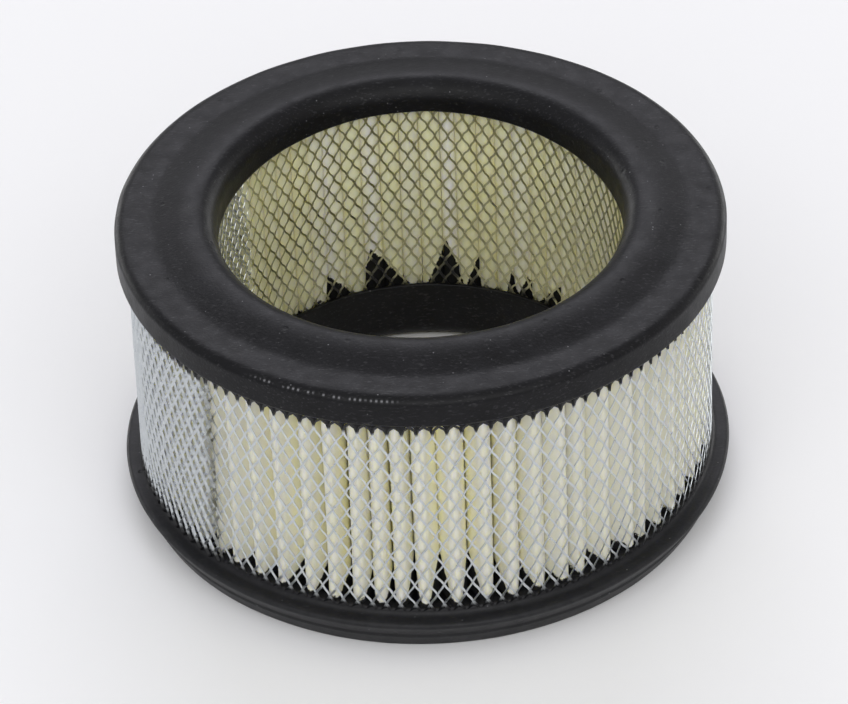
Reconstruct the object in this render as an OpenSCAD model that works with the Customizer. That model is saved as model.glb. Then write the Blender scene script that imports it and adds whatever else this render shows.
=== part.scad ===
// Annular air filter element for a compressor intake.
// Two moulded end caps hold a ring of pleated paper between an outer and an inner expanded-metal sleeve.
// The origin is the centre of the flat underside, +Z runs up the bore, and the front faces -Y.

/* [Overall] */
// Height from the flat underside to the land of the sealing bead
overall_h = 78; // [60:0.5:120]
// Diameter of the bore through both end caps
bore_d = 97.2; // [80:0.2:106]
// Diameter of the outer sleeve
sleeve_d = 139.8; // [134:0.2:180]

/* [Upper end cap] */
// Reach of the upper flange past the outer sleeve
upper_overhang = 3.1; // [2:0.1:12]
// Height of the upper flange's outer wall
upper_rim_h = 7.8; // [6.5:0.1:12]
// Rounding of the upper flange's top edge
upper_edge_r = 1.6; // [0.4:0.1:3]
// Height of the bore wall, from the bead's land to its lower edge
upper_skirt_h = 7.6; // [6.8:0.1:10]
// Height of the sealing bead above the flange
bead_h = 2.2; // [1:0.1:3]
// Width of the flat land along the bead
bead_land = 2; // [1:0.1:5]
// Rounding of the bead towards the bore
bead_bore_r = 5.4; // [3:0.1:6.4]
// Rounding of the bead towards the flange
bead_flange_r = 5.6; // [4:0.1:7]
// Rounding of the groove between the bead and the flange
groove_r = 1.3; // [0.8:0.1:2]
// Depth of that groove
groove_depth = 0.8; // [0.2:0.1:1.2]

/* [Lower end cap] */
// Reach of the lower cap's lip past the outer sleeve
lip_overhang = 4.1; // [3:0.1:12]
// Inset of the lower cap's foot from its lip
foot_inset = 3.6; // [0:0.1:7]
// Height of the lip above the underside
lower_rim_h = 9.2; // [7.5:0.1:12]
// Rounding of the lip
lip_r = 0.8; // [0.3:0.1:2]
// Rounding of the foot
foot_r = 1; // [0.3:0.1:2]
// Fillet of resin that climbs the outer sleeve above the lip
fillet_r = 1.5; // [0.5:0.1:2.5]
// Height of the potting resin at the inner sleeve
potting_h = 17; // [13:0.5:25]
// Rounding of the bore's lower edge
bore_edge_r = 4.5; // [1:0.1:6]

/* [Expanded-metal sleeves] */
// Thickness of the expanded sheet
sheet_t = 0.6; // [0.4:0.1:1]
// Cap wall between the bore and the inner sleeve
skirt_t = 0.8; // [0.5:0.1:2]
// Depth to which the sleeves and the paper are potted in each cap
potted_depth = 4.2; // [2:0.1:5]
// Width of a mesh cell round the sleeve, 2.5 times the real one
cell_w = 8.6; // [7.8:0.1:16]
// Height of a mesh cell, 2.5 times the real one
cell_h = 14.6; // [13:0.1:24]
// Width of the strands between cells
strand_w = 1.4; // [0.8:0.1:2.4]
// Angle over which the sheet's ends lap
lap_angle = 40; // [10:1:60]
// Direction of the outer sleeve's lap edge, from +X
outer_lap_at = -176.4; // [-180:0.1:180]
// Direction of the inner sleeve's lap edge, from +X
inner_lap_at = 147.3; // [-180:0.1:180]

/* [Pleated paper] */
// Number of pleats
pleats = 68; // [40:1:74]
// Thickness of the paper
paper_t = 0.6; // [0.4:0.1:0.9]
// Width across each fold
fold_w = 2.1; // [1.9:0.1:2.6]
// Gap between the folds and the sleeves
fold_gap = 0.2; // [0.1:0.05:0.4]
// Thickness of the strip that closes the seam of the paper
strip_t = 0.35; // [0.2:0.05:0.4]
// Depth of the seam strip's legs along the pleat
strip_leg = 8; // [4:0.5:12]
// Direction of the fold with the seam, from +X
seam_at = 280; // [0:1:360]

/* [Hidden] */
$fn = 128;
// Reach of a cutting shape past the face that it cuts
past = 1;

bore_r = bore_d / 2;
outer_sleeve_r = sleeve_d / 2;
upper_r = outer_sleeve_r + upper_overhang;
lip_x = outer_sleeve_r + lip_overhang;

// Heights of the upper cap
flange_z = overall_h - bead_h;
upper_rim_z = flange_z - upper_rim_h;
upper_skirt_z = overall_h - upper_skirt_h;

// The bead's two roundings, with the land between their centres, and the groove that cuts its foot
bead_in = [bore_r + bead_bore_r, overall_h - bead_bore_r];
bead_out = [bead_in[0] + bead_land, overall_h - bead_flange_r];
bead_foot_x = bead_out[0] + sqrt(pow(bead_flange_r, 2) - pow(bead_flange_r - bead_h, 2));
groove = [bead_foot_x + groove_depth, flange_z - groove_depth + groove_r];
upper_edge = [upper_r - upper_edge_r, flange_z - upper_edge_r];

// The lower cap's roundings; its wall leans along the tangent that the lip and the foot share
lip = [lip_x - lip_r, lower_rim_h - lip_r];
foot = [lip_x - foot_inset - foot_r, foot_r];
bore_edge = [bore_r + bore_edge_r, bore_edge_r];
flare = acos((foot_r - lip_r) / norm(lip - foot)) - atan2(lip[1] - foot[1], lip[0] - foot[0]);
lower_collar_z = lower_rim_h + fillet_r;

// The inner sleeve, measured to its outside, and the heights between which the caps hold both sleeves and the paper
inner_sleeve_r = bore_r + skirt_t + sheet_t;
potted_z = [lower_rim_h - potted_depth, upper_rim_z + potted_depth];
// Steps of the caps that lie within the thickness of the inner and the outer sheet
inner_slot_x = inner_sleeve_r - sheet_t / 2;
fillet_x = outer_sleeve_r - sheet_t / 2 + fillet_r;

// The paper, whose inner folds clear the lap of the inner sleeve
fold_out_r = outer_sleeve_r - sheet_t - fold_gap;
fold_in_r = inner_sleeve_r + sheet_t + fold_gap;

cap_black = "#2b2b2e";
zinc_grey = "#c9cbc8";
paper_cream = "#dbd8b8";

// What a rounding takes off a convex corner, between the directions in which it leaves the two faces
module corner_waste(centre, r, from, to) {
    half = (to - from) / 2;
    translate(centre) rotate(from + half) difference() {
        polygon(2 * r * [[0, 0], [cos(half), -sin(half)], [1 / cos(half), 0], [cos(half), sin(half)]]);
        circle(r);
    }
}

// Distance of the lower cap's leaning wall from the axis at height z
function wall_x(z) = lip[0] + lip_r / cos(flare) + (z - lip[1]) * tan(flare);

// Half section of the upper cap: flange, groove, and bead that rolls into the bore
module upper_section() {
    difference() {
        polygon([
            [bore_r, upper_skirt_z], [bore_r, overall_h], [bead_foot_x, overall_h], [bead_foot_x, flange_z],
            [upper_r, flange_z], [upper_r, upper_rim_z], [inner_slot_x, upper_rim_z], [inner_slot_x, upper_skirt_z]
        ]);
        corner_waste(bead_in, bead_bore_r, 90, 180);
        difference() {
            translate([bead_out[0], flange_z]) square([bead_foot_x - bead_out[0] + past, bead_h + past]);
            translate(bead_out) circle(bead_flange_r);
        }
        translate(groove) circle(groove_r);
        corner_waste(upper_edge, upper_edge_r, 0, 90);
    }
}

// Half section of the lower cap: flat underside, leaning wall, lip, and resin up the two sleeves
module lower_section() {
    difference() {
        polygon([
            [bore_r, 0], [bore_r, potting_h], [inner_slot_x, potting_h], [inner_slot_x, lower_collar_z],
            [fillet_x, lower_collar_z], [fillet_x, lower_rim_h], [wall_x(lower_rim_h), lower_rim_h], [wall_x(0), 0]
        ]);
        translate([fillet_x, lower_collar_z]) circle(fillet_r);
        corner_waste(lip, lip_r, -flare, 90);
        corner_waste(foot, foot_r, -90, -flare);
        corner_waste(bore_edge, bore_edge_r, 180, 270);
    }
}

// Rolled sheet before it is expanded: a tube whose lapped end lies on its outside
module rolled_sheet(r, z, lap_at) {
    translate([0, 0, z[0]]) linear_extrude(z[1] - z[0]) difference() {
        circle(r);
        circle(r - sheet_t);
    }
    translate([0, 0, z[0]]) rotate([0, 0, lap_at])
        rotate_extrude(angle = lap_angle) translate([r - sheet_t / 2, 0]) square([sheet_t * 1.5, z[1] - z[0]]);
}

// Diamond opening of one mesh cell, facing +X
module cell_cut(w, h, depth) {
    rotate([90, 0, 90]) linear_extrude(depth, center = true)
        polygon([[-w / 2, 0], [0, -h / 2], [w / 2, 0], [0, h / 2]]);
}

// Rolled sheet with its staggered rows of cells between two heights
module expanded_sleeve(r, z, lap_at, open_z) {
    columns = round(2 * PI * r / cell_w);
    rows = round((open_z[1] - open_z[0]) / cell_h);
    row_h = (open_z[1] - open_z[0]) / rows;
    lean = atan(row_h / cell_w);
    difference() {
        rolled_sheet(r, z, lap_at);
        for (i = [0 : columns - 1], k = [0 : 2 * rows - 2])
            rotate([0, 0, 360 / columns * (i + (k % 2) / 2)])
                translate([r, 0, open_z[0] + row_h * (k + 1) / 2])
                    cell_cut(cell_w - strand_w / sin(lean), row_h - strand_w / cos(lean), 8 * sheet_t);
    }
}

// Both edges of one fold at a radius, a width apart and square to the fold's direction
function fold_edges(direction, radius, width) = [
    for (side = [-1, 1]) radius * [cos(direction), sin(direction)] + side * width / 2 * [-sin(direction), cos(direction)]
];

// Closed outline of one face of the paper, from its width and radius at the outer and inner folds
function pleat_outline(out_r, out_w, in_r, in_w) = [
    for (i = [0 : pleats - 1], edge = concat(
        fold_edges(seam_at + 360 / pleats * (i - 0.5), out_r, out_w),
        fold_edges(seam_at + 360 / pleats * i, in_r, in_w)
    )) edge
];

module upper_end_cap() {
    color(cap_black) difference() {
        rotate_extrude() upper_section();
        rolled_sheet(outer_sleeve_r, potted_z, outer_lap_at);
        rolled_sheet(inner_sleeve_r, potted_z, inner_lap_at);
        pleat_band();
    }
}

module lower_end_cap() {
    color(cap_black) difference() {
        rotate_extrude() lower_section();
        rolled_sheet(outer_sleeve_r, potted_z, outer_lap_at);
        rolled_sheet(inner_sleeve_r, potted_z, inner_lap_at);
        pleat_band();
    }
}

module outer_sleeve() {
    color(zinc_grey) expanded_sleeve(outer_sleeve_r, potted_z, outer_lap_at, [lower_collar_z, upper_rim_z]);
}

module inner_sleeve() {
    color(zinc_grey) expanded_sleeve(inner_sleeve_r, potted_z, inner_lap_at, [potting_h, upper_skirt_z]);
}

// The folded paper as one closed band
module pleat_band() {
    translate([0, 0, potted_z[0]]) linear_extrude(potted_z[1] - potted_z[0]) difference() {
        polygon(pleat_outline(fold_out_r, fold_w, fold_in_r + paper_t, fold_w - 2 * paper_t));
        polygon(pleat_outline(fold_out_r - paper_t, fold_w - 2 * paper_t, fold_in_r, fold_w));
    }
}

module pleated_media() {
    color(paper_cream) pleat_band();
}

// Folded strip over the inner fold where the two ends of the paper meet, as high as the paper is bare
module media_seam_strip() {
    fold = fold_edges(0, fold_in_r, fold_w)[1];
    run = fold_edges(180 / pleats, fold_out_r - paper_t, fold_w - 2 * paper_t)[0] - fold;
    along = run / norm(run);
    leg_end = fold + strip_leg * along;
    side = [
        fold + strip_t * [-1, 1], leg_end + strip_t * [-along[1], along[0]], leg_end, fold
    ];
    color(zinc_grey) translate([0, 0, lower_collar_z]) rotate(seam_at) linear_extrude(upper_rim_z - lower_collar_z)
        polygon(concat(side, [for (i = [3 : -1 : 0]) [side[i][0], -side[i][1]]]));
}

upper_end_cap();
lower_end_cap();
outer_sleeve();
inner_sleeve();
pleated_media();
media_seam_strip();
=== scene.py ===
"""Looks of an annular pleated air filter element: moulded caps, expanded-metal sleeves and folded paper."""

import math

import bpy
import numpy as np
from mathutils import Matrix, Vector


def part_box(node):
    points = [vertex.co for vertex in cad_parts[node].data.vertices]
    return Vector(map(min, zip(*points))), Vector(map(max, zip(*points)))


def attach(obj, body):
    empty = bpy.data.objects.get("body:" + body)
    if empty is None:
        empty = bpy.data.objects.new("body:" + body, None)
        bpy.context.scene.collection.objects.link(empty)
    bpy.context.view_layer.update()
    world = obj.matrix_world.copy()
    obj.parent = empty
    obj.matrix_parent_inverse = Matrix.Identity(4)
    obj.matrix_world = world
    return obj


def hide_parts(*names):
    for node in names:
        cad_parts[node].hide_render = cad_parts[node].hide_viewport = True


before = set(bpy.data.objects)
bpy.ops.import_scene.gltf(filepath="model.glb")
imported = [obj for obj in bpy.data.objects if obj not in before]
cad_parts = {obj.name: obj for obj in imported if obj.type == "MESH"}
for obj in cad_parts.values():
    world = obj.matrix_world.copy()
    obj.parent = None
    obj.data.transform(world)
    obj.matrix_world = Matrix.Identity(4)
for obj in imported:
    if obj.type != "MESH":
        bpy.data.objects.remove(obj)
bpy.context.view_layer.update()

bl_info = {
    "name": "Pleated Air Filter Element",
    "version": (1, 0, 0),
    "blender": (4, 5, 0),
    "location": "3D View > Sidebar > Filter",
    "description": "Builds the looks of a pleated air filter element round its solid model",
    "category": "Object",
}

TAU = 2 * math.pi
MM = 0.001
UPPER_LOW, UPPER_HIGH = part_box("upper_end_cap")
LOWER_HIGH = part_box("lower_end_cap")[1]
SLEEVE_LOW, SLEEVE_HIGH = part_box("outer_sleeve")
PAPER_LOW, PAPER_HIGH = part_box("pleated_media")

# Teeth of resin in the bore: the direction of the peak from +X and how far it reaches to each side, in
# degrees, and its height in mm
TEETH = ((117.7, 1, 8, 8), (104.5, 2, 11, 13), (82.6, 6, 4.5, 14), (74, 3.5, 1, 9.5), (64.5, 1, 3, 6),
         (58.8, 3, 1, 7), (48.6, 6.5, 1, 7))
# The first three teeth stand on paler stretches of paper
PALE_TEETH = TEETH[:3]


def linear(code):
    """Linear RGBA of an sRGB hex colour.

    Each channel is divided by 12.92 up to 0.04045, and above that raised to the power of 2.4.
    """
    s = np.array([int(code[i:i + 2], 16) for i in (1, 3, 5)]) / 255
    return (*np.where(s <= 0.04045, s / 12.92, ((s + 0.055) / 1.055) ** 2.4), 1.0)


def add(tree, kind, settings=None, inputs=None):
    """Adds one node, sets its properties, and links or sets its inputs by name or number."""
    node = tree.nodes.new(kind)
    for key, value in (settings or {}).items():
        setattr(node, key, value)
    for key, value in (inputs or {}).items():
        if isinstance(value, bpy.types.NodeSocket):
            tree.links.new(value, node.inputs[key])
        else:
            node.inputs[key].default_value = value
    return node


def remap(tree, value, low, high, start, end):
    """Straight line from start at low to end at high, clamped outside."""
    node = add(tree, "ShaderNodeMapRange", {}, {"Value": value, 1: low, 2: high, 3: start, 4: end})
    return node.outputs["Result"]


def reckon(tree, operation, first, second):
    """One arithmetic step between two values."""
    return add(tree, "ShaderNodeMath", {"operation": operation}, {0: first, 1: second}).outputs["Value"]


def noise(tree, place, size, detail, roughness=0.5):
    """Cloudy pattern whose largest patches are about the given size."""
    inputs = {"Vector": place, "Scale": 1 / size, "Detail": detail, "Roughness": roughness}
    return add(tree, "ShaderNodeTexNoise", {}, inputs).outputs["Fac"]


def spots(tree, place, size):
    """Points scattered about the given size apart: a node with distance and colour of the nearest."""
    return add(tree, "ShaderNodeTexVoronoi", {}, {"Vector": place, "Scale": 1 / size})


def blend(tree, share, first, second):
    """Colour between the first and the second by a share."""
    node = add(tree, "ShaderNodeMix", {"data_type": "RGBA"}, {"Factor": share, 6: first, 7: second})
    return node.outputs[2]


def attribute(tree, name):
    """A value that the mesh carries on its points."""
    return add(tree, "ShaderNodeAttribute", {"attribute_name": name}).outputs["Fac"]


def emboss(tree, shader, height, strength, depth):
    """Relief of the given depth on the shader's surface."""
    inputs = {"Strength": strength, "Distance": depth, "Height": height}
    bump = add(tree, "ShaderNodeBump", {}, inputs)
    tree.links.new(bump.outputs["Normal"], shader.inputs["Normal"])


def new_material(name):
    """Empty material with its node tree, its shader and the object's own coordinates."""
    material = bpy.data.materials.new(name)
    material.use_nodes = True
    tree = material.node_tree
    place = add(tree, "ShaderNodeTexCoord").outputs["Object"]
    return material, tree, tree.nodes["Principled BSDF"], place


def smoothstep(x, low, high):
    """0 below low, 1 above high, and 3t^2 - 2t^3 between them."""
    t = np.clip((x - low) / (high - low), 0, 1)
    return t * t * (3 - 2 * t)


def bell(x, middle, width):
    """1 at the middle, falling to both sides as exp(-((x - middle) / width)^2)."""
    return np.exp(-((x - middle) / width) ** 2)


def waves(angle, orders, seed):
    """Sum of cosines of whole orders round the ring, with seeded phases and weights, scaled to about +-1."""
    dice = np.random.default_rng(seed)
    total = np.zeros_like(angle)
    for order in orders:
        total = total + dice.uniform(0.4, 1) * np.cos(order * angle + dice.uniform(0, TAU))
    return total / (0.9 * math.sqrt(len(orders)))


def polar(radius, angle, height):
    """Points at a radius, an angle from +X and a height, as one array of x, y and z."""
    radius, angle, height = np.broadcast_arrays(radius, angle, height)
    return np.stack([radius * np.cos(angle), radius * np.sin(angle), height], axis=-1)


def arc(centre, radius, start, end, count):
    """Points on a circle from one angle in degrees up to, but not at, another."""
    a = np.radians(start + (end - start) * np.arange(count) / count)
    return np.array(centre) + radius * np.stack([np.cos(a), np.sin(a)], axis=-1)


def even_steps(section, step):
    """The closed section walked again in equal steps of its own length."""
    loop = np.vstack([section, section[:1]])
    length = np.concatenate([[0], np.cumsum(np.linalg.norm(np.diff(loop, axis=0), axis=1))])
    count = int(round(length[-1] / step))
    at = length[-1] * np.arange(count) / count
    return np.stack([np.interp(at, length, loop[:, k]) for k in (0, 1)], axis=-1)


def put_mesh(name, points, quads, marks, material, smooth=True):
    """New object of four-sided faces, turned outwards, with marks as float attributes on its points."""
    a, b, c, d = (points[quads[:, k]] for k in range(4))
    volume = np.einsum("ij,ij->i", a, np.cross(b, c)) + np.einsum("ij,ij->i", a, np.cross(c, d))
    if volume.sum() < 0:
        quads = quads[:, ::-1]
    mesh = bpy.data.meshes.new(name)
    mesh.from_pydata(points.tolist(), [], quads.tolist())
    mesh.polygons.foreach_set("use_smooth", np.full(len(quads), smooth))
    for key, values in marks.items():
        layer = mesh.attributes.new(key, "FLOAT", "POINT")
        layer.data.foreach_set("value", np.ascontiguousarray(values, np.float32))
    mesh.materials.append(material)
    mesh.update()
    piece = bpy.data.objects.new(name, mesh)
    bpy.context.scene.collection.objects.link(piece)
    return piece


def ring_quads(around, across):
    """Faces of a grid that closes on itself both round the ring and across its section."""
    i, j = np.meshgrid(np.arange(around), np.arange(across), indexing="ij")
    up, on = (i + 1) % around, (j + 1) % across
    corners = [i * across + j, up * across + j, up * across + on, i * across + on]
    return np.stack(corners, axis=-1).reshape(-1, 4)


def seat(piece, node):
    """The piece stands for a node and rides on the one body, and the node is hidden."""
    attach(piece, "root")
    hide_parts(node)


class FilterCaps(bpy.types.PropertyGroup):
    """Sizes and colours of the two moulded caps."""

    bore: bpy.props.FloatProperty(
        name="Bore", description="Radius of the bore", default=48.6 * MM, subtype="DISTANCE", unit="LENGTH")
    skirt: bpy.props.FloatProperty(
        name="Skirt", description="Height of the upper cap's bore wall", default=7.6 * MM,
        subtype="DISTANCE", unit="LENGTH")
    bead: bpy.props.FloatProperty(
        name="Bead", description="Height of the sealing bead above the flange", default=2.2 * MM,
        subtype="DISTANCE", unit="LENGTH")
    rim: bpy.props.FloatProperty(
        name="Rim", description="Height of the lower cap's lip", default=9.2 * MM,
        subtype="DISTANCE", unit="LENGTH")
    foot: bpy.props.FloatProperty(
        name="Foot", description="Radius of the lower cap's flat underside", default=69.4 * MM,
        subtype="DISTANCE", unit="LENGTH")
    droop: bpy.props.FloatProperty(
        name="Droop", description="How much lower the bore wall's edge hangs at the sides", default=2.4 * MM,
        subtype="DISTANCE", unit="LENGTH")
    waver: bpy.props.FloatProperty(
        name="Waver", description="Unevenness of the moulded edges", default=0.1 * MM,
        subtype="DISTANCE", unit="LENGTH")
    dark: bpy.props.FloatVectorProperty(
        name="Dark", description="Darker tone of the urethane", default=linear("#08080a"),
        size=4, subtype="COLOR")
    light: bpy.props.FloatVectorProperty(
        name="Light", description="Lighter tone of the urethane", default=linear("#131316"),
        size=4, subtype="COLOR")
    # Pale colour of dust, scuffs and rubbed crests, also used for the painted glints on the flash and the
    # painted highlight on the lower lip
    dust_and_glint: bpy.props.FloatVectorProperty(
        name="Scuff", description="Dust and scuffs", default=linear("#a2a2a6"), size=4, subtype="COLOR")


class FilterSleeves(bpy.types.PropertyGroup):
    """Sizes and colours of the two expanded-metal sleeves."""

    outer: bpy.props.FloatProperty(
        name="Outer", description="Radius of the outer sleeve", default=69.6 * MM,
        subtype="DISTANCE", unit="LENGTH")
    inner: bpy.props.FloatProperty(
        name="Inner", description="Radius of the inner sleeve", default=49.7 * MM,
        subtype="DISTANCE", unit="LENGTH")
    cell_w: bpy.props.FloatProperty(
        name="Cell width", description="Width of a mesh cell", default=3.43 * MM,
        subtype="DISTANCE", unit="LENGTH")
    cell_h: bpy.props.FloatProperty(
        name="Cell height", description="Height of a mesh cell", default=5.92 * MM,
        subtype="DISTANCE", unit="LENGTH")
    bond: bpy.props.FloatProperty(
        name="Bond", description="Height of the highest bare row of bonds", default=62.4 * MM,
        subtype="DISTANCE", unit="LENGTH")
    strand_w: bpy.props.FloatProperty(
        name="Strand width", description="Width of a strand", default=0.5 * MM,
        subtype="DISTANCE", unit="LENGTH")
    strand_t: bpy.props.FloatProperty(
        name="Strand thickness", description="Thickness of a strand", default=0.15 * MM,
        subtype="DISTANCE", unit="LENGTH")
    tilt: bpy.props.FloatProperty(
        name="Tilt", description="Turn of the strands out of the sheet", default=math.radians(13),
        subtype="ANGLE", unit="ROTATION")
    lap_tilt: bpy.props.FloatProperty(
        name="Lap tilt", description="Further turn of the strands where the sheet laps",
        default=math.radians(20), subtype="ANGLE", unit="ROTATION")
    zinc: bpy.props.FloatVectorProperty(
        name="Zinc", description="Colour of the plating", default=linear("#cdd1d3"), size=4, subtype="COLOR")
    dull: bpy.props.FloatVectorProperty(
        name="Dull", description="Colour of duller plating", default=linear("#bfc4c7"),
        size=4, subtype="COLOR")
    # Yellow tint of the plating towards the bore
    yellow_tint: bpy.props.FloatVectorProperty(
        name="Stain", description="Yellowed plating towards the bore", default=linear("#c6bf88"),
        size=4, subtype="COLOR")
    # Colour of the lap's cut edge: bare steel and painted shade where the edge lifts
    cut: bpy.props.FloatVectorProperty(
        name="Cut", description="Colour of the cut edge of the lap", default=linear("#5f5d4c"),
        size=4, subtype="COLOR")


class FilterPaper(bpy.types.PropertyGroup):
    """Sizes and colours of the pleated paper."""

    pleats: bpy.props.IntProperty(name="Pleats", description="Number of pleats", default=68, min=20, max=90)
    thick: bpy.props.FloatProperty(
        name="Thickness", description="Thickness of the paper", default=0.5 * MM,
        subtype="DISTANCE", unit="LENGTH")
    outer: bpy.props.FloatProperty(
        name="Outer folds", description="Radius of the outer folds", default=PAPER_HIGH.x - 0.3 * MM,
        subtype="DISTANCE", unit="LENGTH")
    inner: bpy.props.FloatProperty(
        name="Inner folds", description="Radius of the inner folds", default=51.0 * MM,
        subtype="DISTANCE", unit="LENGTH")
    fold: bpy.props.FloatProperty(
        name="Fold", description="Width across an outer fold", default=2.7 * MM,
        subtype="DISTANCE", unit="LENGTH")
    rise: bpy.props.FloatProperty(
        name="Rise", description="Depth of an inner fold's arch", default=0.9 * MM,
        subtype="DISTANCE", unit="LENGTH")
    crowd: bpy.props.FloatProperty(
        name="Crowd", description="Where the folds crowd together", default=math.radians(258),
        subtype="ANGLE", unit="ROTATION")
    stray: bpy.props.FloatProperty(
        name="Stray", description="How far folds stray from even spacing", default=0.45 * MM,
        subtype="DISTANCE", unit="LENGTH")
    reach: bpy.props.FloatProperty(
        name="Reach", description="How far light spreads inside the paper", default=0.8 * MM,
        subtype="DISTANCE", unit="LENGTH")
    pale: bpy.props.FloatVectorProperty(
        name="Pale", description="Paler paper", default=linear("#fffcec"), size=4, subtype="COLOR")
    deep: bpy.props.FloatVectorProperty(
        name="Deep", description="Deeper paper", default=linear("#fbf3c6"), size=4, subtype="COLOR")
    worn: bpy.props.FloatVectorProperty(
        name="Worn", description="Outer folds greyed by handling", default=linear("#e6e4d5"),
        size=4, subtype="COLOR")


class FilterStage(bpy.types.PropertyGroup):
    """Floor, light and camera."""

    floor: bpy.props.FloatVectorProperty(
        name="Floor", description="Colour of the floor", default=linear("#eeeeef"), size=4, subtype="COLOR")
    distance: bpy.props.FloatProperty(
        name="Distance", description="Camera to the middle of the part", default=1.314,
        subtype="DISTANCE", unit="LENGTH")
    rise: bpy.props.FloatProperty(
        name="Elevation", description="Angle at which the camera looks down", default=math.radians(37.58),
        subtype="ANGLE", unit="ROTATION")
    roll: bpy.props.FloatProperty(
        name="Roll", description="Turn of the picture, right side up", default=math.radians(2.04),
        subtype="ANGLE", unit="ROTATION")


def urethane(s):
    """Moulded black polyurethane: a satin skin, mottled by the mould, with pits, dust and scuffs, painted
    glints on the flash and a painted highlight along the lower lip.
    """
    material, tree, shader, place = new_material("moulded_black_polyurethane")
    mottle = noise(tree, place, 9 * MM, 5.0, 0.6)
    tone = blend(tree, remap(tree, mottle, 0.3, 0.72, 0.0, 1.0), s.dark, s.light)
    # Dust specks about 0.3 mm across, in one cell of 2.2 mm out of two, some fainter than others
    dust = spots(tree, place, 2.2 * MM)
    lot = add(tree, "ShaderNodeSeparateColor", {}, {"Color": dust.outputs["Color"]}).outputs["Red"]
    near = remap(tree, dust.outputs["Distance"], 0.03, 0.1, 1.0, 0.0)
    speck = reckon(tree, "MULTIPLY", near, remap(tree, lot, 0.5, 1.0, 0.0, 0.55))
    # Rubbed crests; on the lower cap this is a painted highlight line along the lip's edge and a patchy
    # lightening of the outer wall
    rub = remap(tree, noise(tree, place, 2.2 * MM, 4.0, 0.7), 0.3, 0.75, 0.025, 0.06)
    wear_and_highlight = reckon(tree, "MULTIPLY", rub, attribute(tree, "crest"))
    # Painted glints on the row of flash dots 1.25 mm apart that the mould's edge left, some of them left out
    axes = add(tree, "ShaderNodeSeparateXYZ", {}, {"Vector": place}).outputs
    turn = reckon(tree, "ARCTAN2", axes["Y"], axes["X"])
    count = reckon(tree, "MULTIPLY", turn, UPPER_HIGH.x / (1.25 * MM))
    flash_glints = remap(tree, reckon(tree, "PINGPONG", count, 0.5), 0.15, 0.27, 1.0, 0.0)
    kept = remap(tree, noise(tree, place, 2.5 * MM, 2.0), 0.42, 0.52, 0.0, 1.0)
    flash_glints = reckon(tree, "MULTIPLY", reckon(tree, "MULTIPLY", flash_glints, kept), attribute(tree, "flash_glint"))
    # Fine scuffs half a millimetre wide and three times as long, all one way
    slid = add(tree, "ShaderNodeVectorMath", {"operation": "MULTIPLY"}, {0: place, 1: (0.33, 1.0, 1.0)})
    fine = remap(tree, noise(tree, slid.outputs["Vector"], 0.5 * MM, 3.0, 0.6), 0.57, 0.76, 0.0, 0.09)
    marks = reckon(tree, "MAXIMUM", reckon(tree, "ADD", speck, wear_and_highlight), reckon(tree, "MAXIMUM", flash_glints, fine))
    tree.links.new(blend(tree, marks, tone, s.dust_and_glint), shader.inputs["Base Color"])
    # The satin of the skin changes over a few millimetres
    satin = remap(tree, noise(tree, place, 4 * MM, 3.0), 0.3, 0.7, 0.39, 0.49)
    tree.links.new(satin, shader.inputs["Roughness"])
    shader.inputs["IOR"].default_value = 1.5
    shader.inputs["Specular IOR Level"].default_value = 0.18
    # Grain of 0.7 mm, drawn coarser than the real skin so that it shows, and pits where bubbles met the mould
    grain = noise(tree, place, 0.7 * MM, 3.0)
    pits = remap(tree, spots(tree, place, 6 * MM).outputs["Distance"], 0.05, 0.13, -1.5, 0.0)
    relief = reckon(tree, "ADD", reckon(tree, "ADD", grain, pits), mottle)
    emboss(tree, shader, relief, 0.5, 0.12 * MM)
    return material


def zinc(s):
    """Zinc-plated expanded steel: pale and matt, dark at the lap's cut edge from bare steel and painted
    shade, tinted yellow towards the bore, black where resin wet it.
    """
    material, tree, shader, place = new_material("zinc_plated_expanded_steel")
    cloud = noise(tree, place, 2.5 * MM, 3.0)
    tone = blend(tree, remap(tree, cloud, 0.3, 0.65, 0.0, 1.0), s.dull, s.zinc)
    # Tinted yellow towards the bore
    tone = blend(tree, attribute(tree, "yellow_tint"), tone, s.yellow_tint)
    # Darker at the lap's cut edge, partly bare steel and partly painted shade
    tone = blend(tree, attribute(tree, "cut"), tone, s.cut)
    coat = attribute(tree, "coat")
    resin = linear("#131315")
    tree.links.new(blend(tree, coat, tone, resin), shader.inputs["Base Color"])
    tree.links.new(remap(tree, coat, 0.0, 1.0, 1.0, 0.0), shader.inputs["Metallic"])
    tree.links.new(remap(tree, cloud, 0.3, 0.7, 0.26, 0.36), shader.inputs["Roughness"])
    return material


def paper(s):
    """Resin-treated cellulose filter paper: matt, fibrous, translucent, black where resin climbed it and as
    painted shade deep in the outer valleys.
    """
    material, tree, shader, place = new_material("pleated_cellulose_paper")
    fibre = noise(tree, place, 1.2 * MM, 4.0, 0.65)
    shade = reckon(tree, "ADD", attribute(tree, "tint"), remap(tree, fibre, 0.3, 0.7, -0.12, 0.12))
    tone = blend(tree, shade, s.deep, s.pale)
    tone = blend(tree, attribute(tree, "open"), tone, s.worn)
    # The resin's edge is frayed along the fibres by up to 0.6 mm
    height = add(tree, "ShaderNodeSeparateXYZ", {}, {"Vector": place}).outputs["Z"]
    depth = reckon(tree, "SUBTRACT", attribute(tree, "resin"), height)
    depth = reckon(tree, "ADD", depth, remap(tree, fibre, 0.3, 0.7, -0.6 * MM, 0.6 * MM))
    black = remap(tree, depth, -0.1 * MM, 0.25 * MM, 0.0, 1.0)
    resin = linear("#0b0b0c")
    tree.links.new(blend(tree, black, tone, resin), shader.inputs["Base Color"])
    shader.inputs["Roughness"].default_value = 0.85
    shader.inputs["IOR"].default_value = 1.45
    emboss(tree, shader, fibre, 0.4, 0.1 * MM)
    # Light that falls on one face of the sheet comes through to the other, warmer
    shader.inputs["Subsurface Weight"].default_value = 1.0
    shader.inputs["Subsurface Scale"].default_value = s.reach
    shader.inputs["Subsurface Radius"].default_value = (1.0, 0.95, 0.45)
    return material


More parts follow.
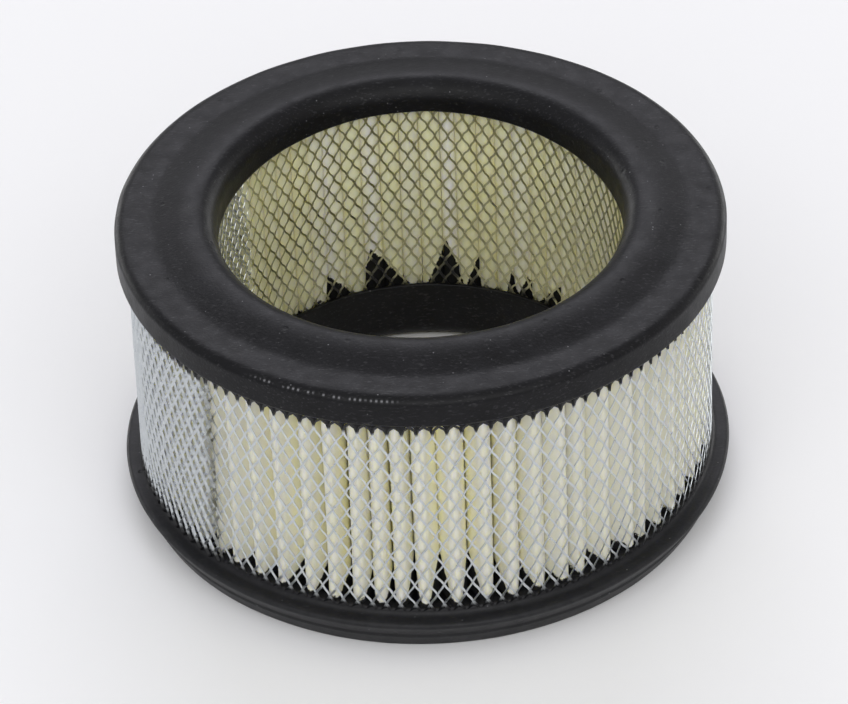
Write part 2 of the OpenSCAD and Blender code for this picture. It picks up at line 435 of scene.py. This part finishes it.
def revolve(name, section, waver, hang, marks, material):
    """Closed section carried round the axis; waves of whole orders move each point by about the waver.

    Points hang down by their own length times cos^2 of the angle, most at the two sides. The painted glints
    on the flash show only on the front stretch of the rim, from 235 to 266 degrees from +X, and fade at both
    ends.
    """
    around = 432
    angle = TAU * np.arange(around)[:, None] / around
    r, z = section[:, 0][None, :], section[:, 1][None, :]
    out = waver * (0.7 * waves(angle, (2, 3, 5, 8), 11) + 0.3 * waves(angle + r * 40, (13, 21, 34), 12))
    rise = waver * (0.7 * waves(angle, (2, 3, 4, 7), 13) + 0.3 * waves(angle - r * 25, (15, 23, 31), 14))
    # The lip's edge, the underside and the bead's crest stay true, so that the part keeps its size
    rise = rise * smoothstep(z, 0.5 * MM, 4 * MM) * smoothstep(UPPER_HIGH.z - z, 0, 3 * MM)
    out = out * smoothstep(LOWER_HIGH.x - r, 0.1 * MM, 0.6 * MM)
    points = polar(r + out, angle, z + rise - hang[None, :] * np.cos(angle) ** 2)
    turn = np.degrees(angle)
    glint_stretch = smoothstep(turn, 235, 240) * smoothstep(-turn, -266, -262)
    marks = {"crest": np.broadcast_to(marks["crest"], (around, len(section))).reshape(-1),
             "flash_glint": (marks["flash_glint"] * glint_stretch).reshape(-1)}
    return put_mesh(name, points.reshape(-1, 3), ring_quads(around, len(section)), marks, material)


def upper_cap(s, material):
    """The upper cap from its half section in mm: bore wall, bead, groove, flange, rim and underside.

    With x the distance from the bore, the bead falls to the flange by a smoothstep from x = 5.2 to 17, by a
    groove of 0.1 * exp(-((x - 15.5) / 1.8)^2) and by a last settling from x = 9 to 24. The rim's upper edge
    is a quarter ellipse. The bead's crest is rubbed, the mould's flash on the rim's edge carries painted
    glints, and the bore wall's lower edge hangs.
    """
    bore, flange = s.bore / MM, UPPER_HIGH.x / MM
    top, under = UPPER_HIGH.z / MM, UPPER_LOW.z / MM
    skirt, face = top - s.skirt / MM, top - s.bead / MM
    # Roundings of the bead towards the bore and of the rim's lower edge, width and height of its upper edge
    roll, burr, edge_w, edge_h = 5.4, 0.4, 3, 1.9
    # The back of the bore wall, at its lower edge and where it meets the underside
    wall_back, wall_root = bore + 5.7, bore + 8.1
    settling = 0.15
    x = np.linspace(roll, flange - edge_w - 0.1 - bore, 44)
    fall = (top - face - settling) * smoothstep(x, 5.2, 17) + 0.1 * bell(x, 15.5, 1.8)
    fall = fall + settling * smoothstep(x, 9, 24)
    a = np.radians(np.linspace(88, 0, 14))
    section = np.vstack([
        [(bore, skirt)],
        arc((bore + roll, top - roll), roll, 180, 90, 18),
        np.column_stack([bore + x, top - fall]),
        np.column_stack([flange - edge_w + edge_w * np.cos(a), face - edge_h + edge_h * np.sin(a)]),
        arc((flange - burr, under + burr), burr, 0, -90, 3),
        [(flange - burr, under), (wall_root, under), (wall_back, skirt)]])
    section = even_steps(section, 0.4)
    r, z = section.T
    # The rubbed bead crest, and the painted glint line on the rim's flash
    marks = {"crest": 0.35 * bell(r, bore + 6.4, 2.5) * (z > top - 1),
             "flash_glint": 0.5 * bell(r, flange - 0.55, 0.24) * bell(z, face - 0.8, 0.24)}
    hang = s.droop * smoothstep(top - roll - z, 0, 2.2) * (r < wall_back + 0.4)
    return revolve("upper_cap_moulding", section * MM, s.waver, hang, marks, material)


def lower_cap(s, material):
    """The lower cap from its half section in mm: bore wall, flat underside, flared wall, lip and resin.

    The flared wall has a crease halfway up. The outer wall and the lip are lightened in patches, and the
    lip's edge carries a painted highlight line.
    """
    bore, foot, lip = s.bore / MM, s.foot / MM, LOWER_HIGH.x / MM
    rim, potting = s.rim / MM, LOWER_HIGH.z / MM
    # Roundings of the bore's lower edge, the foot and the lip, the fillet of resin up the mesh, and the
    # wall's flare in degrees
    edge_r, foot_r, lip_r, fillet, flare = 4.5, 1, 0.8, 1.5, 26
    crease, ledge, resin_back = (foot + lip) / 2 + 0.35, lip - 2.9, bore + 1.1
    section = np.vstack([
        [(bore, potting)],
        arc((bore + edge_r, edge_r), edge_r, 180, 270, 14),
        [(bore + edge_r, 0)],
        arc((foot, foot_r), foot_r, -90, -flare, 5),
        [(foot + 0.9, 0.56), (crease, 4.2), (crease - 0.1, 4.7)],
        arc((lip - lip_r, rim - lip_r), lip_r, -flare, 90, 7),
        [(lip - lip_r, rim)],
        arc((ledge, rim + fillet), fillet, -90, -180, 7),
        [(ledge - fillet, rim + fillet), (resin_back, rim + fillet), (resin_back, potting)]])
    section = even_steps(section, 0.45)
    r, z = section.T
    # Painted highlight line along the lip's edge, and a patchy lightening of the outer wall and lip
    crest = 0.3 * bell(r, lip - 0.3, 0.8) * bell(z, rim - 0.6, 0.8) + 0.6 * (r > foot - 2)
    marks = {"crest": crest, "flash_glint": 0 * r}
    return revolve("lower_cap_moulding", section * MM, s.waver, 0 * r, marks, material)


def tongues(radius, columns, top, bond, material):
    """Black resin that ran out of the cap down the mesh, to a point at every bond.

    With u from -1 at one bond to 1 at the next, the edge stands at bond + foot + rise * sqrt(1 - u^2), where
    each bond has a foot of its own, so the bare paper between two tongues shows as a rounded bump.
    """
    per_cell = 12
    around = columns * per_cell
    dice = np.random.default_rng(61)
    step = np.arange(around)
    u = 2 * (step % per_cell) / per_cell - 1
    cell = step // per_cell
    rise = np.repeat(dice.uniform(2.3, 2.9, columns), per_cell) * MM
    low = dice.uniform(0.1, 0.9, columns) * MM
    foot = low[cell] * (1 - u) / 2 + low[(cell + 1) % columns] * (1 + u) / 2
    edge = np.minimum(bond + foot + rise * np.sqrt(1 - u * u), top - 0.5 * MM)
    brow, level = edge + 0.3 * MM, np.full(around, top)
    angle = (step / per_cell - 0.5) * TAU / columns
    half = 0.42 * MM
    rings = [(-half, level), (half, level), (half, brow), (0, edge), (-half, brow)]
    points = np.stack([polar(radius + out, angle, z) for out, z in rings], axis=1)
    plain = np.zeros(around * len(rings))
    return put_mesh("upper_cap_resin", points.reshape(-1, 3), ring_quads(around, len(rings)),
                    {"crest": plain, "flash_glint": plain}, material)


def sheet_columns(radius, s):
    """Number of mesh cells round a sleeve."""
    return int(round(TAU * radius / s.cell_w))


class FILTER_OT_caps(bpy.types.Operator):
    """Moulds both end caps"""

    bl_idname = "filter.caps"
    bl_label = "End Caps"

    def execute(self, context):
        s = context.scene.filter_caps
        mesh = context.scene.filter_sleeves
        material = urethane(s)
        seat(upper_cap(s, material), "upper_end_cap")
        seat(lower_cap(s, material), "lower_end_cap")
        columns, top = sheet_columns(mesh.outer, mesh), UPPER_LOW.z + 0.3 * MM
        seat(tongues(mesh.outer, columns, top, mesh.bond, material), "upper_end_cap")
        return {"FINISHED"}


def resin_and_valley_shade(angle, depth):
    """Height of the black on the paper: resin teeth on the bore side, and wedges in the valleys outside that
    are partly resin and partly painted shade of the deep valleys.

    Depth is 0 at the inner folds and 1 at the outer ones. Each tooth falls in a straight line from its peak
    to each side. Towards the outer folds the line drops back to the level of the cap, steepest at the front,
    where the painted valley shade reaches highest.
    """
    level = 15.6
    inner = level + 0.6 * waves(angle, (17, 29, 41), 51)
    for at, left, right, top in TEETH:
        away = (np.degrees(angle) - at + 180) % 360 - 180
        tooth = top * np.clip(1 - np.where(away > 0, away / left, -away / right), 0, 1)
        inner = np.maximum(inner, level + tooth)
    # Painted shade of the deep outer valleys, as black wedges above the cap's level, tallest at the front
    valley_shade_steep = 13 + 22 * bell(np.degrees(angle) % 360, 270, 15) + 5 * waves(angle, (11, 19, 31), 52)
    valley = 11.4 + valley_shade_steep * np.clip(1 - depth, 0, 0.32)
    return (inner + (valley - inner) * smoothstep(depth, 0.3, 0.6)) * MM


def bar_quads(count, stations):
    """Faces of four-sided bars: the sides between their stations, and both ends."""
    start = np.arange(count)[:, None, None] * stations * 4
    near = start + np.arange(stations - 1)[None, :, None] * 4
    far = near + 4
    side = np.arange(4)[None, None, :]
    beside = (side + 1) % 4
    sides = np.stack([near + side, near + beside, far + beside, far + side], axis=-1)
    first_end = start[:, 0] + np.array([[3, 2, 1, 0]])
    last_end = start[:, 0] + 4 * (stations - 1) + np.array([[0, 1, 2, 3]])
    return np.concatenate([sides.reshape(-1, 4), first_end, last_end])


def strands(first, last, radius, s, wet, lap, yellow_tint, seed):
    """Bars of expanded sheet between lattice points given as angle and height.

    With t from 0 to 1 along a bar, the angle eases out of one bond and into the next, partly straight and
    partly as 6t^5 - 15t^4 + 10t^3. Where resin ends at the highest bare bonds, it follows a quarter ellipse
    above them, 1 - sqrt(1 - t^2). The bar's section is a strand's width and thickness, turned out of the
    sheet by the tilt. Resin wets it below the first height of wet and above the second. Yellow tint is how
    far its plating is tinted yellow, which is less where the sheet laps.
    """
    stations = np.linspace(0, 1, 4)
    t = stations[None, :]
    bend = 0.35 + 0.5 * yellow_tint
    eased = (1 - bend) * t + bend * t ** 3 * (10 - 15 * t + 6 * t * t)
    arched = (first[:, 1:] > s.bond - 0.1 * MM) & (wet[1] < s.bond + 1 * MM)
    eased = np.where(arched, 1 - np.sqrt(1 - t * t), eased)
    swing, climb = np.split(last - first, 2, axis=1)
    angle = first[:, :1] + swing * eased
    height = first[:, 1:] + climb * t
    doubled = ((angle - lap[0]) % TAU < lap[1] - lap[0]).astype(float)

    slope = swing * np.gradient(eased, stations, axis=1) * radius
    climb = np.broadcast_to(climb, slope.shape)
    run = np.sqrt(slope ** 2 + climb ** 2)
    outward = polar(1, angle, 0 * angle)
    sideways = polar(1, angle + TAU / 4, 0 * angle)
    upward = np.zeros_like(outward)
    upward[..., 2] = 1
    along = (slope / run)[..., None] * sideways + (climb / run)[..., None] * upward
    across = np.cross(outward, along)
    tilt = (s.tilt + s.lap_tilt * doubled)[..., None]
    wide = np.cos(tilt) * across + np.sin(tilt) * outward
    deep = np.cos(tilt) * outward - np.sin(tilt) * across

    coat = smoothstep(height, wet[1], wet[1] + 0.6 * MM)
    coat = np.maximum(coat, smoothstep(-height, -wet[0] - 1.4 * MM, -wet[0]))
    # Resin that climbed the paper in the bore also wet the strands before it, those of one lean a bit less
    climbed = resin_and_valley_shade(angle, 0 * angle) - 0.5 * MM - height
    wetted = np.where(swing > 0, 1.0, 0.88) * (yellow_tint > 0)
    coat = np.maximum(coat, wetted * smoothstep(climbed, 0, 1.2 * MM))
    # The cut end of the lap is frayed over about 2 mm, and darkened there partly as bare steel and partly as
    # painted shade where the edge lifts
    dice = np.random.default_rng(seed)
    frayed = bell((angle - lap[1]) * radius, 0, 1.8 * MM)
    yellow_tint = yellow_tint * (1 - 0.8 * doubled)
    cut = frayed * dice.uniform(0.3, 1, (len(first), 1))

    width = s.strand_w * dice.uniform(0.85, 1.15, (len(first), 1))
    width = width * (1 + 0.3 * coat - 0.05 * yellow_tint + 0.3 * doubled) / 2
    thick = s.strand_t * (1 + 0.3 * coat) / 2
    bent = frayed * dice.uniform(-0.1, 0.25, (len(first), 1)) * MM
    middle = polar(radius + bent, angle, height)
    corners = ((-1, -1), (1, -1), (1, 1), (-1, 1))
    wide, deep = width[..., None] * wide, thick[..., None] * deep
    points = np.stack([middle + w * wide + d * deep for w, d in corners], axis=2)
    marks = {"coat": coat, "cut": cut, "yellow_tint": yellow_tint}
    marks = {key: np.repeat(mark.reshape(-1), len(corners)) for key, mark in marks.items()}
    return points.reshape(-1, 3), bar_quads(len(first), len(stations)), marks


def lattice(columns, rows, low, step, shift, seed, stray):
    """Both ends of every strand: points of staggered rows join the two nearest points of the next row."""
    i, k, side = np.meshgrid(np.arange(columns), np.arange(rows), np.array([-1, 1]), indexing="ij")
    sway = np.random.default_rng(seed).normal(0, stray, (columns, rows + 1))
    pitch = TAU / columns

    def bond(i, k):
        """Angle and height of a bond, half a cell further round in every other row."""
        angle = (i + k % 2 / 2 + shift) * pitch + sway[i % columns, k] * pitch
        return np.stack([angle, low + step * k], axis=-1)

    nearest = i + np.where(k % 2 == 0, (side - 1) // 2, (side + 1) // 2)
    return bond(i, k).reshape(-1, 2), bond(nearest, k + 1).reshape(-1, 2)


def sleeve(name, radius, wet, lap, yellow_tint, s, material, seed):
    """Sheet once round at the radius, and a second layer on it between the two angles of its lap.

    The rows of bonds are half a cell apart. An odd number of them lies below the highest bare row, which puts
    that row's bonds half a cell from angle 0. The lapping layer is shifted by nearly half a cell, so that its
    strands lie between those of the first layer, and its cut end is ragged.
    """
    lap_lift, lap_shift = 0.55 * MM, 0.47
    columns = sheet_columns(radius, s)
    step = s.cell_h / 2
    below = int((s.bond - SLEEVE_LOW.z) / step / 2 - 0.5) * 2 + 1
    rows = below + int((SLEEVE_HIGH.z - s.bond) / step)
    low = s.bond - below * step
    first, last = lattice(columns, rows, low, step, 0, seed, 0.03)
    points, quads, marks = strands(first, last, radius, s, wet, lap, yellow_tint, seed)
    first, last = lattice(columns, rows, low, step, lap_shift, seed + 1, 0.04)
    middle = (first[:, 0] + last[:, 0]) / 2 % TAU
    ragged = np.random.default_rng(seed + 2).uniform(-0.4, 0.4, len(middle)) * TAU / columns
    inside = (middle - lap[0]) % TAU < (lap[1] - lap[0]) + ragged
    over = strands(first[inside], last[inside], radius + lap_lift, s, wet, lap, yellow_tint, seed + 3)
    quads = np.concatenate([quads, over[1] + len(points)])
    points = np.concatenate([points, over[0]])
    marks = {key: np.concatenate([marks[key], over[2][key]]) for key in marks}
    return put_mesh(name, points, quads, marks, material, smooth=False)


class FILTER_OT_sleeves(bpy.types.Operator):
    """Rolls both expanded-metal sleeves"""

    bl_idname = "filter.sleeves"
    bl_label = "Expanded-metal Sleeves"

    def execute(self, context):
        s = context.scene.filter_sleeves
        material = zinc(s)
        # Heights below and above which resin wets each sleeve, and where its ends lap, from +X
        outer_wet, inner_wet = (11.2 * MM, s.bond + 0.2 * MM), (15.0 * MM, 70.0 * MM)
        outer_lap, inner_lap = np.radians((183.6, 223.6)), np.radians((147.3, 187.3))
        inner_tint = 0.75
        outer = sleeve("outer_mesh", s.outer, outer_wet, outer_lap, 0.0, s, material, 21)
        seat(outer, "outer_sleeve")
        inner = sleeve("inner_mesh", s.inner, inner_wet, inner_lap, inner_tint, s, material, 31)
        seat(inner, "inner_sleeve")
        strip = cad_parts["media_seam_strip"]
        strip.data.materials.clear()
        strip.data.materials.append(material)
        return {"FINISHED"}


def pleat_plan(s, dice, levels):
    """Angle and radius of the sheet's middle line: a row for each point along it, a column for each level.

    One pleat is an outer fold, a wall inwards, an inner fold and a wall outwards. Outer folds are nearly half
    circles of the fold's width. Inner folds are shallow arches, r = inner + rise * u^2 for u from -1 to 1,
    that leave little more than the sheet's thickness between them. With t from 0 at the outer end of a wall
    to 1 at the inner end, the wall is straight but for a belly that closes the valley behind the folds. The
    belly grows from t = 0, is full up to 0.35 and gone at 0.55. It is full from t = 0.33 on where the folds
    crowd, from 0.13 on elsewhere, and sooner in a narrow valley. Each fold has its own place and lean, from
    seeded numbers.
    """
    fold = np.arange(s.pleats)[:, None, None]
    even = fold * TAU / s.pleats
    off = (even - s.crowd + math.pi) % TAU - math.pi
    crowded = -0.3 * off * bell(off, 0, math.radians(13))

    def pick(scale):
        """One seeded number for each pleat, about the scale in size."""
        return dice.normal(0, scale, s.pleats)[:, None, None]

    def following(angles):
        """The angles of the next pleat."""
        return np.roll(angles, -1, axis=0) + np.where(fold == s.pleats - 1, TAU, 0)

    lean = pick(0.6 * s.stray) * (levels - 0.5) + pick(0.4 * s.stray) * np.sin(math.pi * levels)
    tip = even + crowded + (pick(s.stray) + lean) / s.outer
    joint = even + 0.5 * crowded + (pick(0.5 * s.stray) + 0.4 * lean) / s.inner
    sink = np.abs(pick(0.3 * MM)) + np.abs(pick(0.2 * MM)) * np.sin(math.pi * levels)
    sweep = np.radians(np.linspace(-80, 80, 7))[None, None, :]
    out_a = tip + s.fold / 2 * np.sin(sweep) / s.outer
    out_r = s.outer - sink - s.fold / 2 * (1 - np.cos(sweep))
    u = np.linspace(-1, 1, 9)[None, None, :]
    half = (following(joint) - joint) / 2 - 0.6 * s.thick / s.inner
    in_a = (following(joint) + joint) / 2 + half * u
    in_r = s.inner + np.abs(pick(0.2 * MM)) + s.rise * u * u + 0 * levels

    # The belly is measured 4.5 mm behind the outer folds
    behind = s.outer - 4.5 * MM
    space = (following(tip) - tip) * behind - 0.85 * s.fold
    belly = np.clip(space / 2 - 0.15 * MM, 0, 3 * MM) / behind
    t = np.linspace(0, 1, 18)[None, None, 1:-1]
    full = 0.33 - 0.2 * smoothstep(np.abs(off), math.radians(15), math.radians(40))
    full = full * np.clip(space / (3.6 * MM), 0.3, 1)
    swell = np.clip(np.minimum(t / full, (0.55 - t) / 0.2), 0, 1)

    def wall(a0, r0, a1, r1, bulge):
        """Straight run between two fold ends, moved round by the bulge."""
        return a0 + (a1 - a0) * t + bulge, r0 + (r1 - r0) * t

    next_a, next_r = following(out_a), np.roll(out_r, -1, axis=0)
    bulge = belly * swell
    inwards = wall(out_a[..., -1:], out_r[..., -1:], in_a[..., :1], in_r[..., :1], bulge)
    outwards = wall(in_a[..., -1:], in_r[..., -1:], next_a[..., :1], next_r[..., :1], -bulge[..., ::-1])
    angle = np.concatenate([out_a, inwards[0], in_a, outwards[0]], axis=2)
    radius = np.concatenate([out_r, inwards[1], in_r, outwards[1]], axis=2)
    return [x.transpose(0, 2, 1).reshape(-1, levels.size) for x in (angle, radius)]


def both_faces(angle, radius, z, thick):
    """The sheet's outer face upwards and its inner face downwards, half the thickness off the middle line."""
    flat = np.stack([radius * np.cos(angle), radius * np.sin(angle)], axis=-1)
    along = np.roll(flat, -1, axis=0) - np.roll(flat, 1, axis=0)
    along = along / np.linalg.norm(along, axis=-1, keepdims=True)
    side = np.stack([along[..., 1], -along[..., 0]], axis=-1) * thick / 2
    z = np.broadcast_to(z, radius.shape)[..., None]
    outer = np.concatenate([flat + side, z], axis=-1)
    inner = np.concatenate([flat - side, z], axis=-1)
    return np.concatenate([outer, inner[:, ::-1]], axis=1)


class FILTER_OT_paper(bpy.types.Operator):
    """Folds the pleated paper"""

    bl_idname = "filter.paper"
    bl_label = "Pleated Paper"

    def execute(self, context):
        s = context.scene.filter_paper
        dice = np.random.default_rng(41)
        levels = np.linspace(0, 1, 14)[None, :, None]
        angle, radius = pleat_plan(s, dice, levels)
        end_gap = 0.5 * MM
        z = (PAPER_LOW.z + end_gap) + (PAPER_HIGH.z - PAPER_LOW.z - 2 * end_gap) * levels[0, :, 0]
        points = both_faces(angle, radius, z, s.thick)
        depth = (radius - s.inner) / (s.outer - s.inner)
        # Each pleat has its own tint, paler on the stretches under the first teeth of resin
        tint = np.repeat(dice.uniform(0.1, 0.55, s.pleats), angle.shape[0] // s.pleats)[:, None] + 0 * angle
        for at, *_ in PALE_TEETH:
            tint = np.maximum(tint, 0.9 * bell(np.degrees(angle), at - 1, 2.6))
        # Handling greyed the outer folds, further in where they don't crowd
        off = np.abs((angle - s.crowd + math.pi) % TAU - math.pi)
        shallow = smoothstep(off, math.radians(10), math.radians(40))
        handled = smoothstep(depth, 0.75 - 0.15 * shallow, 1 - 0.1 * shallow)
        # The resin mark also carries the painted shade of the outer valleys
        marks = {"resin": resin_and_valley_shade(angle, depth), "tint": tint, "open": handled}
        marks = {key: np.concatenate([mark, mark[:, ::-1]], axis=1).reshape(-1)
                 for key, mark in marks.items()}
        quads = ring_quads(*points.shape[:2])
        piece = put_mesh("folded_paper", points.reshape(-1, 3), quads, marks, paper(s))
        seat(piece, "pleated_media")
        return {"FINISHED"}


def lay_floor(scene, colour):
    """A square floor 6 m wide, far wider than the picture."""
    ground = bpy.data.materials.new("white_studio_sweep")
    ground.use_nodes = True
    shader = ground.node_tree.nodes["Principled BSDF"]
    shader.inputs["Base Color"].default_value = colour
    shader.inputs["Roughness"].default_value = 0.7
    half = 3.0
    corners = [(-half, -half, 0), (half, -half, 0), (half, half, 0), (-half, half, 0)]
    mesh = bpy.data.meshes.new("floor")
    mesh.from_pydata(corners, [], [(0, 1, 2, 3)])
    mesh.materials.append(ground)
    floor = bpy.data.objects.new("floor", mesh)
    scene.collection.objects.link(floor)


def softbox(name, place, aim, size, watts, colour):
    """Rectangular lamp at a place, turned to face the aim."""
    lamp = bpy.data.lights.new(name, "AREA")
    lamp.shape = "RECTANGLE"
    lamp.size, lamp.size_y = size
    lamp.energy = watts
    lamp.color = linear(colour)[:3]
    holder = bpy.data.objects.new(name, lamp)
    bpy.context.scene.collection.objects.link(holder)
    holder.location = place
    holder.rotation_euler = (Vector(aim) - Vector(place)).to_track_quat("-Z", "Y").to_euler()


def set_light(scene):
    """An even white room, with large soft lamps behind, above, in front and at both sides."""
    world = bpy.data.worlds.new("studio")
    scene.world = world
    world.use_nodes = True
    sky = world.node_tree.nodes["Background"]
    sky.inputs["Color"].default_value = linear("#fdfdff")
    sky.inputs["Strength"].default_value = 0.28
    part = (0, 0, 0.04)
    softbox("back_softbox", (0, 1.8, 1.62), (0, 0, 0.05), (1.6, 1.0), 19, "#f7f6ff")
    softbox("overhead_softbox", (0, -0.9, 2.1), (0, -0.9, 0), (3.8, 2.6), 19, "#ffffff")
    softbox("front_softbox", (0, -1.9, 1.5), (0, 0, 0.03), (3.6, 2.0), 39, "#ffffff")
    softbox("left_rim", (-1.0, 1.1, 0.2), part, (1.0, 0.3), 5.5, "#ffffff")
    softbox("right_rim", (1.0, 1.1, 0.2), part, (1.0, 0.3), 5.5, "#ffffff")
    softbox("left_softbox", (-2.0, 0, 1.1), part, (2.2, 1.6), 4.5, "#f6f8ff")
    softbox("right_softbox", (2.0, 0, 1.1), part, (2.2, 1.6), 4.5, "#fffaf4")


def set_camera(scene, s):
    """Camera in front, looking down on a point of the axis, with the picture rolled about its view."""
    aim_height = 37.9 * MM
    # Width of the picture, focal length and shift of the picture's centre, in its pixels
    picture, focal, shift = 848, 5420, (-0.25, -15)
    sensor = 36
    e, q = s.rise, s.roll
    back = np.array([0, -math.cos(e), math.sin(e)])
    level, upright = np.array([1, 0, 0]), np.array([0, math.sin(e), math.cos(e)])
    right = math.cos(q) * level - math.sin(q) * upright
    up = math.sin(q) * level + math.cos(q) * upright
    eye = np.array([0, 0, aim_height]) + s.distance * back
    camera = bpy.data.objects.new("camera", bpy.data.cameras.new("camera"))
    scene.collection.objects.link(camera)
    pose = np.eye(4)
    pose[:3] = np.column_stack([right, up, back, eye])
    camera.matrix_world = Matrix(pose.tolist())
    camera.data.sensor_width = sensor
    camera.data.lens = sensor * focal / picture
    camera.data.shift_x, camera.data.shift_y = (x / picture for x in shift)
    camera.data.clip_end = 20
    scene.camera = camera


class FILTER_OT_stage(bpy.types.Operator):
    """Lays the floor and sets the light and the camera"""

    bl_idname = "filter.stage"
    bl_label = "Stage"

    def execute(self, context):
        scene = context.scene
        scene.view_settings.view_transform = "Standard"
        lay_floor(scene, scene.filter_stage.floor)
        set_light(scene)
        set_camera(scene, scene.filter_stage)
        return {"FINISHED"}


class FILTER_PT_build(bpy.types.Panel):
    """Lists the settings and the steps of the filter element"""

    bl_idname = "FILTER_PT_build"
    bl_label = "Filter Element"
    bl_space_type = "VIEW_3D"
    bl_region_type = "UI"
    bl_category = "Filter"

    def draw(self, context):
        for key, operator in STEPS.items():
            box = self.layout.box()
            group = getattr(context.scene, key)
            for name in group.__annotations__:
                box.prop(group, name)
            box.operator(operator)


STEPS = {"filter_caps": "filter.caps", "filter_sleeves": "filter.sleeves", "filter_paper": "filter.paper",
         "filter_stage": "filter.stage"}
GROUPS = {"filter_caps": FilterCaps, "filter_sleeves": FilterSleeves, "filter_paper": FilterPaper,
          "filter_stage": FilterStage}
CLASSES = (*GROUPS.values(), FILTER_OT_caps, FILTER_OT_sleeves, FILTER_OT_paper, FILTER_OT_stage,
           FILTER_PT_build)


def register():
    """Registers the classes and hangs the settings on the scene."""
    for cls in CLASSES:
        bpy.utils.register_class(cls)
    for key, group in GROUPS.items():
        setattr(bpy.types.Scene, key, bpy.props.PointerProperty(type=group))


def unregister():
    """Takes the settings off the scene and the classes out again."""
    for key in GROUPS:
        delattr(bpy.types.Scene, key)
    for cls in reversed(CLASSES):
        bpy.utils.unregister_class(cls)


def main():
    """Builds the pieces and the stage in order."""
    register()
    bpy.ops.filter.caps()
    bpy.ops.filter.sleeves()
    bpy.ops.filter.paper()
    bpy.ops.filter.stage()


if __name__ == "__main__":
    main()
